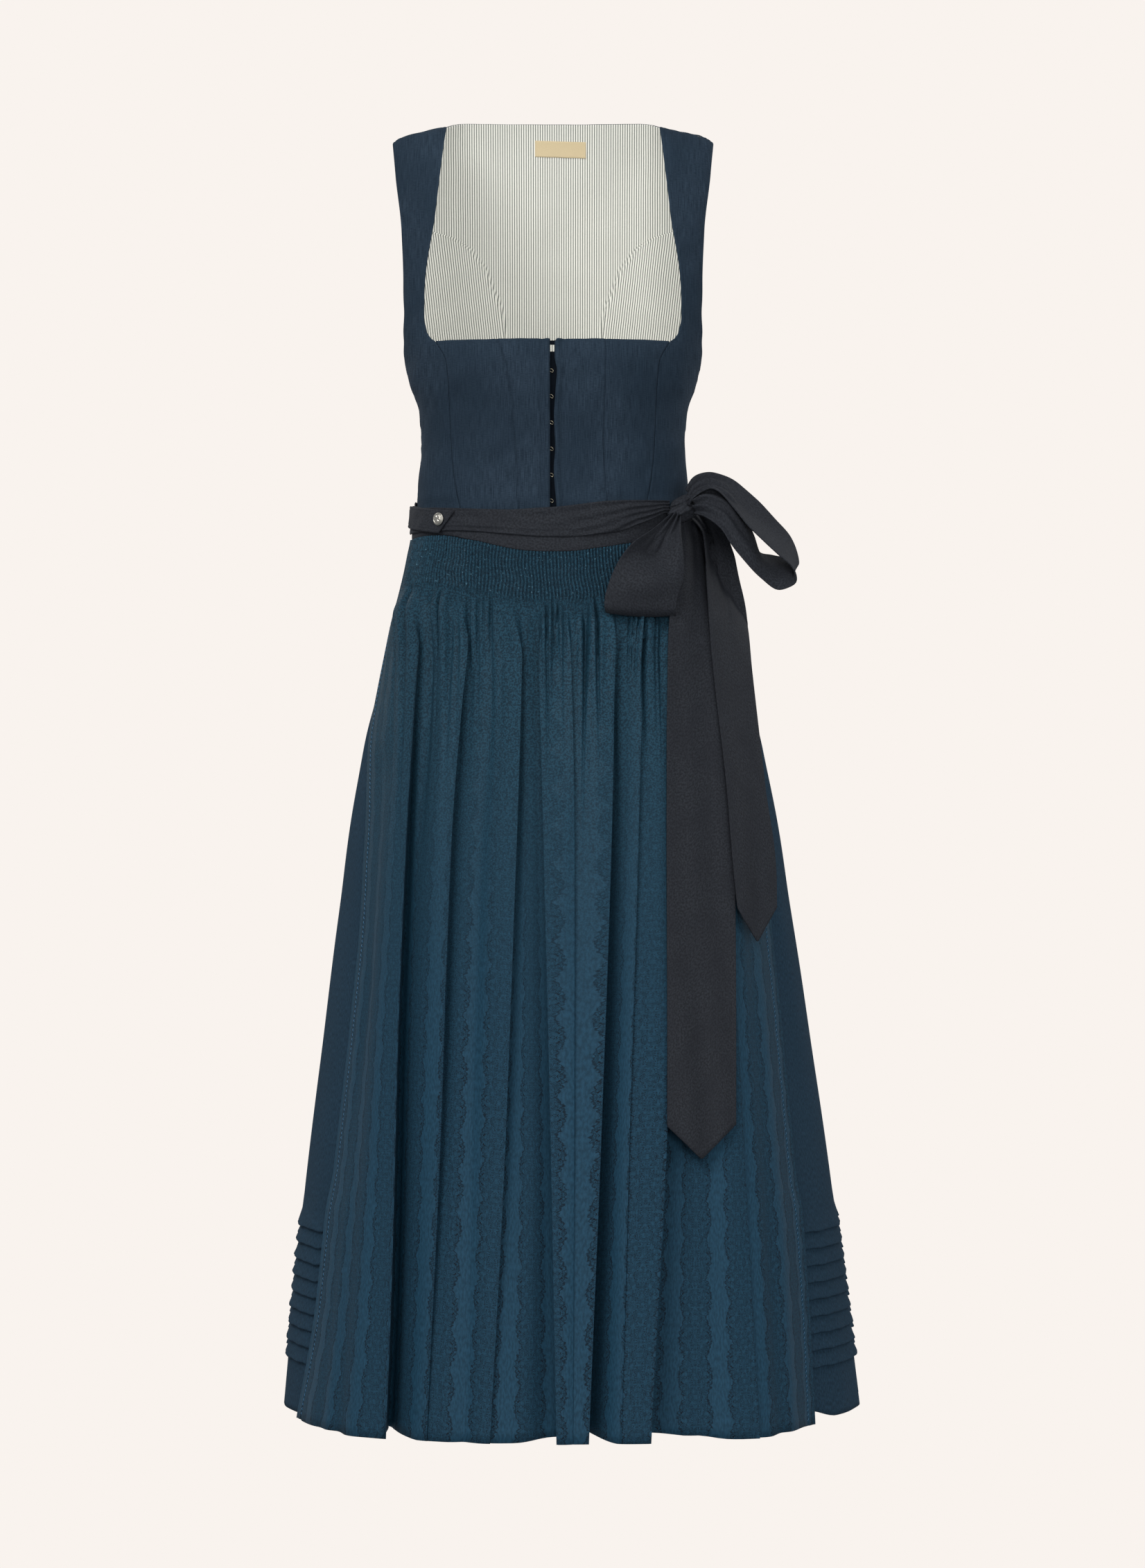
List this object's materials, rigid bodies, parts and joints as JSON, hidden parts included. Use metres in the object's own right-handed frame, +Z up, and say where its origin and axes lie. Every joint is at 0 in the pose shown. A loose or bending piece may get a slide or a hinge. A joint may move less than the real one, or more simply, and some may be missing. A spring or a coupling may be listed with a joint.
{
  "type": "dirndl",
  "caption": "Dirndl with a square neck, a hooked front, a long skirt with tucks at the hem, and a smocked apron tied in a bow at one side.",
  "frame": {"origin": "under the shoulders, midway between the two straps, where the wearer holds the dress up", "axes": "+Z up, -Y towards the front of the dress, +X to the right of someone who looks at its front"},
  "size_m": [0.56, 0.6136, 1.2423],
  "materials": {
    "bodice_cloth": "dark blue-grey cotton and linen twill, matt",
    "lining_cloth": "cream cotton with fine dark stripes",
    "label_cloth": "bare cream woven tape",
    "silver": "silver-coloured metal with raised ornament",
    "skirt_cloth": "dark blue cotton, matt",
    "apron_cloth": "teal blue cotton with tone-on-tone stripes of traditional ornament",
    "tie_cloth": "anthracite cotton satin with a soft sheen"
  },
  "bodies": {
    "root": {"bodice_front_centre_left": "bodice_cloth", "bodice_front_centre_right": "bodice_cloth", "bodice_front_middle_left": "bodice_cloth", "bodice_front_middle_right": "bodice_cloth", "bodice_front_side_left": "bodice_cloth", "bodice_front_side_right": "bodice_cloth", "bodice_back_side_left": "bodice_cloth", "bodice_back_side_right": "bodice_cloth", "bodice_back_centre": "bodice_cloth", "closure_placket": "bodice_cloth", "lining_back_centre": "lining_cloth", "lining_back_side_left": "lining_cloth", "lining_back_side_right": "lining_cloth", "neck_label": "label_cloth", "hook_1": "silver", "hook_2": "silver", "hook_3": "silver", "hook_4": "silver", "hook_5": "silver", "hook_6": "silver", "tab_button": "silver", "skirt_front": "skirt_cloth", "skirt_back": "skirt_cloth", "apron": "apron_cloth", "apron_band": "tie_cloth", "tie_front": "tie_cloth", "tie_right": "tie_cloth", "tie_back": "tie_cloth", "tie_tab": "tie_cloth", "bow_knot": "tie_cloth", "bow_loop_right": "tie_cloth", "bow_loop_left": "tie_cloth", "bow_tail_long": "tie_cloth", "bow_tail_short": "tie_cloth"}
  },
  "joints": []
}
